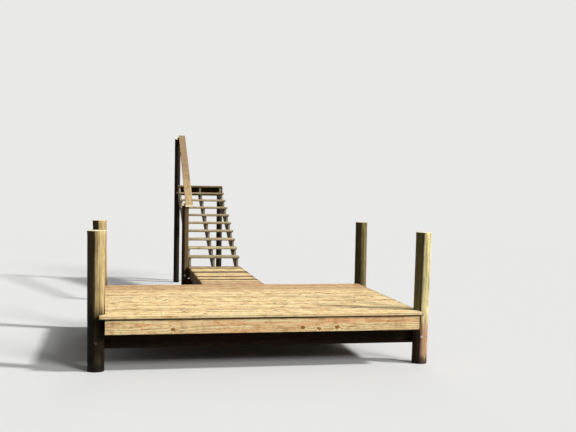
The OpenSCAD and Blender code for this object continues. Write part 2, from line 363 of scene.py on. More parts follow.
# %% [markdown]
# A saw cuts through the log's growth rings, which shows as pale and dark bands: straight lines where
# the cut is square to the rings, tall arches where it runs along them. A striped texture would give
# only the lines. So the material builds the log: rings round a pith line, bent by a slow noise, and the
# board's faces cut through them. The pith lies 20 to 90 mm below a board's middle and up to 70 mm aside.

# %% Rings of a board
PITH_ASIDE_M = 0.07
PITH_DEPTHS_M = (0.02, 0.09)
RING_SWAY_M = 0.06
RING_BENDS = (0.9, 5, 5)
LATE_WOOD_FROM = 0.35


def rings_in(tree, grain, die, flow, ring_m, swirl):
    """Share of late wood at each point of a board, from rings round a pith line below it."""
    pith_y = add(tree, "MapRange", [die[0], 0, 1, -PITH_ASIDE_M, PITH_ASIDE_M])
    pith_z = add(tree, "MapRange", [die[1], 0, 1, *PITH_DEPTHS_M])
    pith = add(tree, "CombineXYZ", [0, pith_y, pith_z])
    flat = add(tree, "VectorMath", [grain, (0, 1, 1)], operation="MULTIPLY")
    offset = add(tree, "VectorMath", [flat, pith], operation="ADD")
    from_pith = add(tree, "VectorMath", [offset], operation="LENGTH")
    bend = stretched(tree, grain, RING_BENDS, 2.0)
    sway = add(tree, "Math", [bend, RING_SWAY_M + swirl, from_pith], operation="MULTIPLY_ADD")
    bent = add(tree, "Math", [sway, flow], operation="ADD")
    return late_wood_at(tree, bent, ring_m, LATE_WOOD_FROM)


print("pith", [round(depth * 1000) for depth in PITH_DEPTHS_M], "mm below a board's middle")

# %% [markdown]
# ## Weather on sawn pine
# Sun and rain change bare wood slowly. They bleach it in patches, and rain leaves ragged brown marks.
# Dirt holds in the gaps between the boards and where rain hangs under an edge, and the ends soak up
# damp and darken. Each pattern is a noise whose stretch comes from its size on the real board.

# %% Sizes of the patterns
# Repeats in a metre: a bleached patch is about 220 mm long, and a rain mark 170 by 80 mm
BLEACHED = (4.5, 3.0, 3.0)
RAIN_MARKS = (6, 12, 12)
# A warm streak is over a metre long and 45 mm wide
STREAKS = (0.8, 22, 22)
# Fibres and flecks of resin are finer than a pixel, so they are drawn as coarse as 6 and 13 mm
FIBRES = (2.5, 160, 160)
FLECKS = (16, 75, 75)
# The noise level at which a pattern starts, and the one at which it is full
BLEACHED_FROM_TO = (0.34, 0.66)
RAIN_MARKS_FROM_TO = (0.53, 0.66)
STREAKS_FROM_TO = (0.42, 0.70)
FIBRES_FROM_TO = (0.25, 0.75)
FLECKS_FROM_TO = (0.58, 0.68)
for stretch in (BLEACHED, RAIN_MARKS, STREAKS, FIBRES, FLECKS):
    print("pattern", [round(1000 / times) for times in stretch], "mm")

# %% [markdown]
# Dirt is a question of place. Along an edge it follows the depth below the board's faces, at an end the
# depth below the end, and on a board that drips it covers the lower half. A stain is given as a level or
# a stretch of the whole object, and its edge is made ragged by the streaks in the wood.
# Painted shade and painted shadows are given the same way as a stain.

# %% Dirt and damp
X, Y, Z = 0, 1, 2
ARRIS_M = 0.008
ARRIS_FULL_M = 0.0032
END_M = 0.050
PATCHES_FROM_TO = (0.40, 0.56)
LEAST_DIRT = 0.35
# Shares of half a board's thickness, from its middle
DRIP_FROM_TO = (-0.30, 0.10)


def dirt_on(tree, half_size, local, depth, blot, dirt, drip):
    """A mask of the dirt along the eased edges, patchy, at the ends and on a dripping lower half."""
    edge_depth = add(tree, "Math", [depth[Y], depth[Z]], operation="MAXIMUM")
    arris = add(tree, "MapRange", [edge_depth, ARRIS_FULL_M, ARRIS_M, dirt, 0], **SMOOTH)
    patchy = add(tree, "MapRange", [blot, *PATCHES_FROM_TO, LEAST_DIRT, 1], **SMOOTH)
    arris_dirt = add(tree, "Math", [arris, patchy], operation="MULTIPLY")
    end_dark = add(tree, "MapRange", [depth[X], 0, END_M, dirt * 0.6, 0], **SMOOTH)
    hang = add(tree, "SeparateXYZ", [add(tree, "VectorMath", [local, half_size], operation="DIVIDE")])
    lower = add(tree, "MapRange", [hang.outputs[Z], *DRIP_FROM_TO, drip, 0], **SMOOTH)
    worst = add(tree, "Math", [end_dark, lower], operation="MAXIMUM")
    return add(tree, "Math", [arris_dirt, worst], operation="MAXIMUM")


def stain_and_shade_on(tree, band, axis, middle, full, end, share):
    """A mask of a stain on some stretch of the object, full up to one distance and gone at another.
    Painted shade and painted shadows use it too.
    """
    where = add(tree, "SeparateXYZ", [add(tree, "TexCoord").outputs["Object"]]).outputs[axis]
    from_middle = add(tree, "Math", [where, middle], operation="SUBTRACT")
    distance = add(tree, "Math", [from_middle], operation="ABSOLUTE")
    ragged = add(tree, "Math", [band, 0.5 * (end - full), distance], operation="MULTIPLY_ADD")
    return add(tree, "MapRange", [ragged, full, end, share, 0], **SMOOTH)


print("dirt reaches", round(ARRIS_M * 1000), "mm in from an edge and", round(END_M * 1000), "from an end")

# %% [markdown]
# The whole finish puts these layers over one another, from the rings of the wood up to the dirt on it.
# Late wood is harder than early wood, so it wears less, stands a little proud and shines a little more.

# %% Sawn pine material
DARKER_BOARD_BROWN = "#4E3218"
PALEST_WOOD = "#F0E0B2"
FIBRE_LIGHTS = (0.86, 1.12)
BOARD_ROUGHNESS = (0.82, 0.68)
# How strong the relief is, and how high in metres
BOARD_RELIEF = (0.5, 0.0006)


def make_sawn_pine(name, pale, dark, blush, knot, stain, ring_m=RING_M, knots=0.16, streaks=0.5,
                   tones=0.18, dirt=0.5, marks=0.3, mark_colour="#9A774B", swirl=0.028, late_wood=0.55,
                   bleaching=0.22, flecks=0.25, drip=0.0):
    """Bare sawn pine. The colours are early wood, late wood, a warmer streak and the knots.

    The stain is its axis, its middle, where it is full and where it ends, its share and its colour. On
    some finishes it stands for painted shade and shadow.
    Knots are the share of the cells that hold one. Swirl is how far the grain bends round them, in
    metres. The other numbers are shares from 0 to 1: of the streaks, of what boards differ in tone, of
    dirt, rain marks, late wood, bleaching, flecks and drips.
    """
    material, tree = new_material(name)
    grain = add(tree, "Attribute", attribute_name="grain").outputs["Vector"]
    half_size = add(tree, "Attribute", attribute_name="half_size").outputs["Vector"]
    brown = add(tree, "Attribute", attribute_name="brown").outputs["Fac"]
    die, local, depth = board_places(tree, grain, half_size)
    knot_mask, flow = knots_in(tree, grain, knots, swirl)
    late = rings_in(tree, grain, die, flow, ring_m, swirl)
    bleach = stretched(tree, grain, BLEACHED, 5.0, 0.72)
    blot = stretched(tree, grain, RAIN_MARKS, 5.0, 0.65)
    fibre = stretched(tree, grain, FIBRES, 3.0)
    band = stretched(tree, grain, STREAKS, 3.0)
    dash = stretched(tree, grain, FLECKS, 1.0)

    # Rings first, then streaks, the tone of the board, rain marks, flecks and boards made darker
    late_share = add(tree, "Math", [late, late_wood], operation="MULTIPLY")
    streak = add(tree, "MapRange", [band, *STREAKS_FROM_TO, 0, streaks], **SMOOTH)
    warmth = add(tree, "Math", [die[2], tones * 2], operation="MULTIPLY")
    mark = add(tree, "MapRange", [blot, *RAIN_MARKS_FROM_TO, 0, marks], **SMOOTH)
    fleck = add(tree, "MapRange", [dash, *FLECKS_FROM_TO, 0, flecks], **SMOOTH)
    wood = pale
    for mask, colour in ((late_share, dark), (streak, blush), (warmth, blush), (mark, mark_colour),
                         (fleck, knot), (brown, DARKER_BOARD_BROWN)):
        wood = add(tree, "Mix", [mask, wood, colour], **COLOURS)

    # Boards, fibres and bleached patches are lighter and darker, up to the palest that wood gets
    board_light = add(tree, "MapRange", [die[0], 0, 1, 1 - tones * 1.6, 1 + tones * 1.2])
    fibre_light = add(tree, "MapRange", [fibre, *FIBRES_FROM_TO, *FIBRE_LIGHTS])
    bleach_light = add(tree, "MapRange", [bleach, *BLEACHED_FROM_TO, 1 - bleaching, 1 + bleaching * 0.7])
    for light in (board_light, fibre_light, bleach_light):
        wood = add(tree, "VectorMath", [wood, light], operation="MULTIPLY")
    wood = add(tree, "VectorMath", [wood, linear(PALEST_WOOD)[:3]], operation="MINIMUM")

    # Knots, dirt and the stain lie over all of it; on some finishes the stain is painted shade
    *stretch, stain_and_shade_colour = stain
    dirty = dirt_on(tree, half_size, local, depth, blot, dirt, drip)
    for mask, colour in ((knot_mask, knot), (dirty, knot), (stain_and_shade_on(tree, band, *stretch), stain_and_shade_colour)):
        wood = add(tree, "Mix", [mask, wood, colour], **COLOURS)

    # Late wood is harder, stands a little proud and shines a little more
    height = add(tree, "Math", [fibre, 0.6, late], operation="MULTIPLY_ADD")
    rough = add(tree, "MapRange", [late, 0, 1, *BOARD_ROUGHNESS])
    put_skin(tree, wood, rough, height, *BOARD_RELIEF)
    return material


print("palest wood", PALEST_WOOD, "and soaked wood", DARKER_BOARD_BROWN)

# %% [markdown]
# ## Finishes of the boards
# All boards are the same wood. What they have been through sets them apart, and so does painted shade.
# One function with other colours and shares makes all eight. The stains are given first: a painted
# shadow in front of the gangway, painted shadow lines under the deck's edge, painted shade low down, a
# green foot and a brown head. Each is an axis, a middle, the distance up to which it is full, the one at
# which it ends, its share and its colour.

# %% Board finishes
# A painted shadow, brown, over the back of the deck and the near end of the gangway
PAINTED_SHADOW_AT_GANGWAY = (Y, -1.75, 0.35, 1.05, 0.48, "#A47550")
# A painted shadow: a dark line along the top of the front rim, under the deck boards' overhang
PAINTED_SHADOW_UNDER_EDGE = (Z, 0.662, 0.016, 0.026, 0.92, "#24150B")
# A painted shadow: a dark line along the lower edge of the front board's face
PAINTED_SHADOW_UNDER_NOSING = (Z, 0.650, 0.014, 0.024, 0.90, "#24150B")
# Painted shade under the deck: the frame is darker towards the bottom
PAINTED_SHADE_BELOW = (Z, 0.0, 0.40, 0.75, 0.80, "#1C120B")
MOSSY_FOOT = (Z, 0.80, 0.05, 0.40, 0.30, "#8E8262")
FADED_ABOVE = (Z, 3.30, 0.90, 1.45, 0.60, "#7E6850")

# New boards, bleached by the sun: pale yellow, with bold rings, brown rain marks, dirty gaps and a
# painted shadow over the back of the deck and the near end of the gangway
deck_pine = make_sawn_pine("deck_pine_sawn", "#FFE7AE", "#E0A25E", "#F8C88C", "#4A2A12", PAINTED_SHADOW_AT_GANGWAY,
                           knots=0.24, streaks=0.45, tones=0.13, dirt=0.75, marks=0.75,
                           mark_colour="#9C662E", bleaching=0.38, flecks=0.45)
# The board that feet and rain wear: plainer and cleaner, with a painted shadow line along its lower edge
nosing_pine = make_sawn_pine("nosing_pine_sawn", "#FFEAB4", "#E0AA64", "#F6C48A", "#6A4420", PAINTED_SHADOW_UNDER_NOSING,
                             streaks=0.4, tones=0.05, dirt=0.75, marks=0.40, mark_colour="#B08040")
# Cut along the rings, so they show as broad red arches, with a painted shadow line under the deck's edge
fascia_pine = make_sawn_pine("fascia_pine_sawn", "#FFEAB2", "#C27E3A", "#F8B27C", "#96602F",
                             PAINTED_SHADOW_UNDER_EDGE, ring_m=0.020, knots=0.30, streaks=0.65, tones=0.05,
                             dirt=0.1, marks=0.45, mark_colour="#B07034", swirl=0.035, late_wood=0.65,
                             bleaching=0.20, flecks=0.45)
# Under the deck: painted nearly black as shade, and its rings hardly show
girder_pine = make_sawn_pine("girder_pine_painted_shade", "#382718", "#26190E", "#2E1F13", "#1A100A", PAINTED_SHADE_BELOW)
# The rest of the frame: painted dark brown as shade, and black towards the bottom
frame_pine = make_sawn_pine("frame_pine_painted_shade", "#6A5132", "#46301C", "#573D25", "#24160D", PAINTED_SHADE_BELOW)
# Old wood that stands upright in sun and rain: silver grey
stringer_pine = make_sawn_pine("stringer_pine_weathered", "#B2A691", "#7E715E", "#96866E", "#3A2C1E",
                               PAINTED_SHADE_BELOW)
# Old treads: grey with a green cast at the foot, and dark nosings that drip
tread_pine = make_sawn_pine("tread_pine_weathered", "#CFC09A", "#9A8A66", "#B29A74", "#3A2C1E",
                            MOSSY_FOOT, dirt=0.3, marks=0.5, drip=0.6)
# A plank that hands rub: clean and streaky, and browner at its head
rail_pine = make_sawn_pine("handrail_pine_faded", "#C2B07E", "#886A4A", "#BC9272", "#4A3222",
                           FADED_ABOVE, ring_m=0.016, streaks=0.6, tones=0.10, dirt=0.15)
finishes = (deck_pine, nosing_pine, fascia_pine, girder_pine, frame_pine, stringer_pine, tread_pine,
            rail_pine)
print("board finishes", [finish.name for finish in finishes])

# %% [markdown]
# ## Peeled poles
# Piles and posts are whole pine logs, peeled to smooth wood and pressure treated, which leaves a
# greenish tan. The fibres run up the pole, so every pattern is stretched along it. Damp leaves its mark
# low down: a reddish brown stain up to the splash line and a dark wet foot, the only part that shines.
# The side away from the key lamp is painted dark as shade, with a paler olive rim painted as skylight
# along its outer edge.

# %% Pole material
STAIN_TOP_M = 0.52
STAIN_FOOT_M = 0.10
# Repeats in a metre: green patches are about 900 by 110 mm, dark streaks 700 by 22 mm
GREEN_PATCHES = (1.1, 9, 9)
DARK_STREAKS = (1.4, 45, 45)
# Torn fibres and branch scars are a finger long, and drawn 28 mm wide so that they show
SCARS = (9, 36, 36)
GREEN_FROM_TO = (0.40, 0.64)
STREAKS_DARK_FROM_TO = (0.50, 0.72)
SCARS_FROM_TO = (0.36, 0.62)
SCAR_LIGHTS = (0.78, 1.14)
MOST_STREAK = 0.75
MOST_SHADE = 0.92
MOST_WET = 0.85
# Streaks lift the splash line by up to 300 mm, and widen the painted shade by up to half a radius
SPLASH_RAGGED = -0.30
SHADE_RAGGED = 0.5
# Shares of the radius to the left of the axis, between which the painted rim light comes in
RIM_FROM_TO = (0.42, 0.66)
# From dry wood to the wet foot
POLE_ROUGHNESS = (0.78, 0.45)
POLE_RELIEF = (0.6, 0.002)


def make_pole(name, sunny, mossy, streak, painted_shade_colour, stain, foot, stain_top=STAIN_TOP_M, soaked=0.8,
              rim=None, shade_from=0.36):
    """A peeled round pole. The colours are bare wood, green patches, dark streaks, the painted shade on the
    side away from the key lamp, the splashed stain and the wet foot. The rim is a painted rim light along
    the shade's outer edge."""
    material, tree = new_material(name)
    grain = add(tree, "Attribute", attribute_name="grain").outputs["Vector"]
    half_size = add(tree, "Attribute", attribute_name="half_size").outputs["Vector"]
    level = add(tree, "SeparateXYZ", [add(tree, "TexCoord").outputs["Object"]]).outputs[Z]
    line = stretched(tree, grain, DARK_STREAKS, 4.0)
    patch = stretched(tree, grain, GREEN_PATCHES, 3.0)
    green = add(tree, "MapRange", [patch, *GREEN_FROM_TO], **SMOOTH)
    dark = add(tree, "MapRange", [line, *STREAKS_DARK_FROM_TO, 0, MOST_STREAK], **SMOOTH)

    # The splash line wanders up and down with the streaks
    ragged = add(tree, "Math", [line, SPLASH_RAGGED, level], operation="MULTIPLY_ADD")
    splash = add(tree, "MapRange", [ragged, stain_top - 0.36, stain_top - 0.10, soaked, 0], **SMOOTH)
    wood = sunny
    for mask, colour in ((green, mossy), (dark, streak), (splash, stain)):
        wood = add(tree, "Mix", [mask, wood, colour], **COLOURS)

    # The painted shade covers a share of the radius to the left of the pole's axis, with a ragged edge, and
    # a painted rim light lies along its outer side. Below the splash line the shade takes the foot's colour.
    share = add(tree, "VectorMath", [grain, half_size], operation="DIVIDE")
    leftward = add(tree, "SeparateXYZ", [share]).outputs[Y]
    frayed = add(tree, "Math", [line, SHADE_RAGGED, leftward], operation="MULTIPLY_ADD")
    shady = add(tree, "MapRange", [frayed, shade_from, shade_from + 0.2, 0, MOST_SHADE], **SMOOTH)
    outer = add(tree, "MapRange", [leftward, *RIM_FROM_TO], **SMOOTH)
    shade_with_rim_light = add(tree, "Mix", [outer, painted_shade_colour, rim or painted_shade_colour], **COLOURS)
    low_painted_shade = add(tree, "Mix", [splash, shade_with_rim_light, foot], **COLOURS)
    wood = add(tree, "Mix", [shady, wood, low_painted_shade], **COLOURS)

    # Torn fibres and branch scars, some darker and some paler, and below them the wet foot
    scar = stretched(tree, grain, SCARS, 4.0, 0.6)
    scar_light = add(tree, "MapRange", [scar, *SCARS_FROM_TO, *SCAR_LIGHTS])
    wood = add(tree, "VectorMath", [wood, scar_light], operation="MULTIPLY")
    wet_range = (STAIN_FOOT_M - 0.20, STAIN_FOOT_M - 0.10)
    wet = add(tree, "MapRange", [ragged, *wet_range, MOST_WET, 0], **SMOOTH)
    wood = add(tree, "Mix", [wet, wood, foot], **COLOURS)
    rough = add(tree, "MapRange", [wet, 0, 1, *POLE_ROUGHNESS])
    put_skin(tree, wood, rough, line, *POLE_RELIEF)
    return material


print("splash line", STAIN_TOP_M, "and wet foot", STAIN_FOOT_M, "metres up")

# %% [markdown]
# End grain is the log cut square: the growth rings show as circles. It dries first, so it stays pale,
# and it is drawn paler still as a painted highlight.
# The rings are the same as in the boards, round the pole's own axis, and a noise of about 70 mm bends
# them a little.

# %% Cut ends
CUT_END_BENDS = 14.0
CUT_END_SWAY_M = 0.012
CUT_END_LATE_FROM = 0.3
CUT_END_ROUGHNESS = 0.85
CUT_END_RELIEF = (0.4, 0.001)


def make_cut_end(name, pale, dark):
    """Sawn end grain, of a pole's top or a board's end: growth rings round the middle."""
    material, tree = new_material(name)
    grain = add(tree, "Attribute", attribute_name="grain").outputs["Vector"]
    flat = add(tree, "VectorMath", [grain, (0, 1, 1)], operation="MULTIPLY")
    radius = add(tree, "VectorMath", [flat], operation="LENGTH")
    bend = add(tree, "TexNoise", [grain, CUT_END_BENDS, 1.0])
    sway = add(tree, "Math", [bend, CUT_END_SWAY_M, radius], operation="MULTIPLY_ADD")
    late = late_wood_at(tree, sway, RING_M, CUT_END_LATE_FROM)
    colour = add(tree, "Mix", [late, pale, dark], **COLOURS)
    put_skin(tree, colour, CUT_END_ROUGHNESS, late, *CUT_END_RELIEF)
    return material


cut_top = make_cut_end("pole_end_grain", "#FFF4D8", "#D8C092")
board_end = make_cut_end("board_end_grain", "#FFF2D2", "#E2CBA0")
print("cut ends", [cut_top.name, board_end.name])

# %% [markdown]
# What sets the poles apart is how wet they stay and how old they are. One function with other colours,
# splash lines and shares of shade makes all five.

# %% Pole finishes
# Dry and sunny: the palest tan, with a red stain low down
pile_wood = make_pole("pile_pine_peeled", "#E6D69E", "#B6A972", "#6C5631", "#2A2014", "#B4846A", "#1C130D",
                      stain_top=0.62, rim="#625B3C")
# The two left piles: greyer, with a darker painted shade, and painted nearly black up to a higher line
# as the deck's shadow
shaded_pile_wood = make_pole("pile_pine_painted_shade", "#C8B07E", "#9C8758", "#5A4629", "#1B130C", "#17100A", "#0E0906",
                           stain_top=0.86, soaked=0.96, rim="#302A1C", shade_from=0.28)
# Behind the deck: green with moss, and darker all over as painted shade
mossy_shaded_pile_wood = make_pole("pile_pine_mossy_painted_shade", "#786C46", "#565636", "#3A331D", "#2E2918", "#5C4430",
                            "#1C130D", rim="#3E3A24")
# Old posts: brown and dull
post_wood = make_pole("post_pine_old", "#705A40", "#544630", "#2A1E13", "#2A1C10", "#4C3928", "#241B13")
# The posts at the stair's head: painted nearly black as shade
dark_post_wood = make_pole("post_pine_painted_shade", "#33281D", "#2A2118", "#1A130D", "#120D08", "#241B13", "#17100B",
                           rim="#1E170F", shade_from=0.10)
finishes = (pile_wood, shaded_pile_wood, mossy_shaded_pile_wood, post_wood, dark_post_wood)
print("pole finishes", [finish.name for finish in finishes])

# %% [markdown]
# ## Modelling a board
# A board starts as a cube at its size and place, and a pole or a screw as a cylinder. Every operator acts
# on all that is selected, so everything is deselected first. The place and the size then go into the
# mesh, so that the object itself sits at the origin.

# %% Adding a shape
def select_alone(piece=None):
    """Selects one piece only, or none, because an operator acts on all that is selected."""
    bpy.ops.object.select_all(action="DESELECT")
    if piece:
        piece.select_set(True)
        bpy.context.view_layer.objects.active = piece


def add_box(low, high):
    """A box between two corners."""
    select_alone()
    bpy.ops.mesh.primitive_cube_add(size=1, location=(low + high) / 2)
    bpy.context.object.scale = high - low
    bpy.ops.object.transform_apply(location=True, rotation=True, scale=True)
    return bpy.context.object


def add_cylinder(sides, radius, depth, middle):
    """An upright cylinder round its middle."""
    select_alone()
    bpy.ops.mesh.primitive_cylinder_add(vertices=sides, radius=radius, depth=depth, location=middle)
    bpy.ops.object.transform_apply(location=True, rotation=True, scale=True)
    return bpy.context.object


# %% [markdown]
# In edit mode the long edges of a board are cut across at even steps, so that it can warp later, and
# then rounded over, as a planer eases them. Only the edges that run along the board are picked, by the
# direction between their two ends.

# %% Modelling a board
EASE_M = 0.005
CUT_EVERY_M = 0.35
PARALLEL = 0.99


def pick(piece, kind, test):
    """Selects in edit mode the vertices, edges or faces that pass a test."""
    bpy.ops.mesh.select_mode(type=kind)
    bpy.ops.mesh.select_all(action="DESELECT")
    shape = bmesh.from_edit_mesh(piece.data)
    for item in {"VERT": shape.verts, "EDGE": shape.edges, "FACE": shape.faces}[kind]:
        if test(item):
            item.select_set(True)
    bmesh.update_edit_mesh(piece.data)


def runs_along(edge, axis):
    """True for an edge that runs along an axis."""
    way = edge.verts[1].co - edge.verts[0].co
    return abs(way[axis]) > PARALLEL * way.length


def model_board(low, high, along, ease=EASE_M):
    """A sawn board that fills a box, cut across at even steps, with its long edges eased."""
    size = high - low
    board = add_box(low, high)
    bpy.ops.object.mode_set(mode="EDIT")
    pick(board, "EDGE", lambda edge: runs_along(edge, along))
    bpy.ops.mesh.subdivide(number_cuts=max(1, round(size[along] / CUT_EVERY_M)))
    pick(board, "EDGE", lambda edge: runs_along(edge, along))
    bpy.ops.mesh.bevel(offset=ease, segments=2, affect="EDGES")
    wide = max((axis for axis in range(3) if axis != along), key=lambda axis: size[axis])
    pick(board, "EDGE", lambda edge: runs_along(edge, wide) and edge.calc_length() > size[wide] / 2)
    bpy.ops.mesh.subdivide(number_cuts=2)
    bpy.ops.object.mode_set(mode="OBJECT")
    return board


print("eased by", EASE_M, "and cut across every", CUT_EVERY_M, "metres")

# %% [markdown]
# ## Where the boards lie
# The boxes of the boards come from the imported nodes, so that every board stays where its solid is. Only
# the two girders reach lower than their solids do, because that is where the photo shows their lower
# edge: they are deeper boards than the rim in front of them.

# %% Boxes of the boards
GIRDERS = ("front_girder", "back_girder")
GIRDER_LOWER_M = 0.040


def box_of(node):
    """A node's box. The deck's two girders reach lower than their solids do."""
    low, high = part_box(node)
    drop = GIRDER_LOWER_M if node in GIRDERS else 0.0
    return low - Vector((0, 0, drop)), high


def boxes_of(node, across, count, width):
    """Boxes of the equal boards that make up one node, from low to high along an axis."""
    low, high = box_of(node)
    step = (high[across] - low[across] - width) / max(count - 1, 1)
    boxes = []
    for number in range(count):
        board_low, board_high = low.copy(), high.copy()
        board_low[across] += number * step
        board_high[across] = board_low[across] + width
        boxes.append((board_low, board_high))
    return boxes


print("front girder", [[round(side, 3) for side in corner] for corner in box_of("front_girder")])

# %% [markdown]
# ## Copies, cuts and warp
# Boards that repeat are modelled once and copied, each copy with its own mesh. No two real boards are
# quite alike, so each copy is set a little lower and its ends a few millimetres in or out, from one
# seeded generator. A Displace modifier with a slow cloud texture then warps them all, and a Boolean
# modifier cuts one shape out of another. Modifiers are applied at once, so the mesh holds what they did.

# %% Copies, joins and modifiers
SEED = 7
chance = random.Random(SEED)


def slow_clouds(name, size_m):
    """A cloud texture for a Displace modifier."""
    texture = bpy.data.textures.new(name, "CLOUDS")
    texture.noise_scale = size_m
    return texture


def copy_piece(model, move):
    """A copy of a modelled piece with its own mesh, moved by a matrix."""
    twin = model.copy()
    twin.data = model.data.copy()
    bpy.context.scene.collection.objects.link(twin)
    twin.data.transform(move)
    return twin


def join_pieces(pieces, name):
    """Joins pieces into one mesh with a name."""
    joined = pieces[0]
    select_alone(joined)
    for piece in pieces:
        piece.select_set(True)
    if len(pieces) > 1:
        bpy.ops.object.join()
    joined.name = name
    joined.data.name = name
    return joined


def modify(piece, kind, **settings):
    """Puts a modifier with its settings on a piece and applies it."""
    modifier = piece.modifiers.new(kind.lower(), kind)
    for key, value in settings.items():
        setattr(modifier, key, value)
    select_alone(piece)
    bpy.ops.object.modifier_apply(modifier=modifier.name)


def cut_out(piece, cutter):
    """Cuts one shape out of a piece, and removes the shape."""
    modify(piece, "BOOLEAN", object=cutter, operation="DIFFERENCE", solver="EXACT")
    bpy.data.objects.remove(cutter)


def hand_over(piece, material, slot, *nodes):
    """Gives a finished piece its material, hangs it under the root, and hides the nodes that it stands for.
    """
    piece.data.materials.clear()
    piece.data.materials.append(material)
    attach(piece, "root")
    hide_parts(*nodes)
    print(piece.name, len(piece.data.polygons), "faces")


print("seed", SEED)

# %% [markdown]
# ## Where the piles stand
# The piles are tapered, and two of them lean a little, so a box round a pile doesn't say where its side
# is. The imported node's own points do: those of its foot and those of its top give two circles, and any
# level between them follows. The top edge is bevelled, so the widest points lie a little below the top.

# %% Measuring a pole
TOP_BEVEL_M = 0.006
SAME_LEVEL_M = 0.001


def points_of(node):
    """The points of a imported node, in the row frame."""
    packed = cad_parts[node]
    return [packed.matrix_world @ vert.co for vert in packed.data.vertices]


def circle_round(points):
    """Middle and radius of the circle that some points lie on. A lean shortens it in X, not in Y."""
    low, high = [Vector([most(point[axis] for point in points) for axis in range(3)]) for most in (min, max)]
    return (low + high) / 2, (high.y - low.y) / 2


def pole_circles(node):
    """The circles at a pole's foot and at its top, each a middle and a radius."""
    points = points_of(node)
    top = max(point.z for point in points)
    foot_middle, foot_r = circle_round([point for point in points if point.z < SAME_LEVEL_M])
    top_middle, _ = circle_round([point for point in points if point.z > top - 0.7 * TOP_BEVEL_M])
    _, top_r = circle_round([point for point in points if point.z > top - 2 * TOP_BEVEL_M])
    return foot_middle, foot_r, top_middle, top_r


def pole_at(node, level):
    """Middle and radius of a pole at a level. A post is straight, and its box says both."""
    if node not in PILES:
        low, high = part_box(node)
        return (low + high) / 2, (high.y - low.y) / 2
    foot_middle, foot_r, top_middle, top_r = pole_circles(node)
    share = level / top_middle.z
    return foot_middle.lerp(top_middle, share), foot_r + (top_r - foot_r) * share


PILES = ["pile_front_left", "pile_front_right", "pile_back_left", "pile_back_right"]
for pile in PILES:
    foot_middle, foot_r, top_middle, top_r = pole_circles(pile)
    lean = math.degrees(math.atan2(top_middle.x - foot_middle.x, top_middle.z))
    print(pile, "foot", round(foot_r, 4), "top", round(top_r, 4), "lean", round(lean, 2))

# %% [markdown]
# ## Deck boards
# Twenty-one sawn boards run along X, side by side. The front one and the plain rows are whole. The
# others meet a pile and are cut out round it with some room. A Boolean modifier does that with a
# cylinder, whose middle and radius are the pile's own at the board's level.

# %% Deck boards
BOARD_W = 0.140
CUTOUT_ROOM_M = 0.006
CUTTER_SIDES = 48
CUTTER_DEPTH = 0.2
UNEVEN_END_M = 0.004
UNEVEN_TOP_M = 0.003
WARP_M = 0.005
UP = (0, 0, 1)
TO_FRONT = (0, -1, 0)
TO_RIGHT = (1, 0, 0)
TO_BACK = (0, 1, 0)
board_clouds = slow_clouds("slow_clouds", 0.28)


def cut_round_piles(board):
    """Cuts a deck board out round every pile."""
    level = sum(corner.z for corner in mesh_box(board)) / 2
    for pile in PILES:
        middle, radius = pole_at(pile, level)
        cut_out(board, add_cylinder(CUTTER_SIDES, radius + CUTOUT_ROOM_M, CUTTER_DEPTH, middle))


def lay_boards(node, count, material, slot, notched=False, brown=None):
    """Cross boards of one node: modelled once, copied, set a little unevenly, joined and warped."""
    boxes = boxes_of(node, Y, count, BOARD_W)
    first_low, first_high = boxes[0]
    model = model_board(first_low, first_high, X)
    boards = []
    for number, (low, high) in enumerate(boxes):
        aside = chance.uniform(-UNEVEN_END_M, UNEVEN_END_M)
        uneven = Vector((aside, 0, chance.uniform(-UNEVEN_TOP_M, 0)))
        board = copy_piece(model, Matrix.Translation(low - first_low + uneven))
        if notched:
            cut_round_piles(board)
        store_grain(board, TO_RIGHT, UP, (brown or {}).get(number, 0.0))
        boards.append(board)
    bpy.data.objects.remove(model)
    piece = join_pieces(boards, node + "_sawn")
    modify(piece, "DISPLACE", texture=board_clouds, texture_coords="GLOBAL", direction="Z",
           strength=WARP_M, mid_level=0.5)
    hand_over(piece, material, slot, node)


DECK_ROWS = {"deck_front_board": 1, "deck_notched_boards": 2, "deck_boards_front": 6,
             "deck_boards_middle": 5, "deck_boards_back": 6, "deck_back_board": 1}
for node, count in DECK_ROWS.items():
    wood = nosing_pine if node == "deck_front_board" else deck_pine
    lay_boards(node, count, wood, "treated_pine", node in ("deck_notched_boards", "deck_back_board"))

# %% [markdown]
# The gangway has nineteen such boards, and each tread has two. Some boards are darker, each by a share
# of its own, and the top treads darken one after another.

# %% Gangway boards and treads
GANGWAY_ROWS = {"gangway_boards_near": 10, "gangway_boards_far": 9}
GANGWAY_BROWN = {"gangway_boards_near": {0: 0.25, 2: 0.35, 4: 0.92, 7: 0.92, 8: 0.15},
                 "gangway_boards_far": {1: 0.62, 2: 0.97, 6: 0.78, 7: 0.30, 8: 0.72}}
for node, count in GANGWAY_ROWS.items():
    lay_boards(node, count, deck_pine, "treated_pine", brown=GANGWAY_BROWN[node])
TREADS = ["tread_%02d" % number for number in range(1, 11)]
TOP_TREADS_BROWN = {"tread_08": 0.10, "tread_09": 0.20, "tread_10": 0.50}
for tread in TREADS:
    brown = TOP_TREADS_BROWN.get(tread, 0.0)
    lay_boards(tread, 2, tread_pine, "weathered_tread", brown={0: brown, 1: brown})

# %% [markdown]
# ## Frame boards
# Girders, rim boards, joists and beams stand on edge, so their wide face is upright. The five joists
# are one board, copied. None of these boards is warped, because the others are screwed down on them.

# %% Rims, girders, joists and beams
BOARD_T = 0.038
FRAME_EASE_M = 0.004


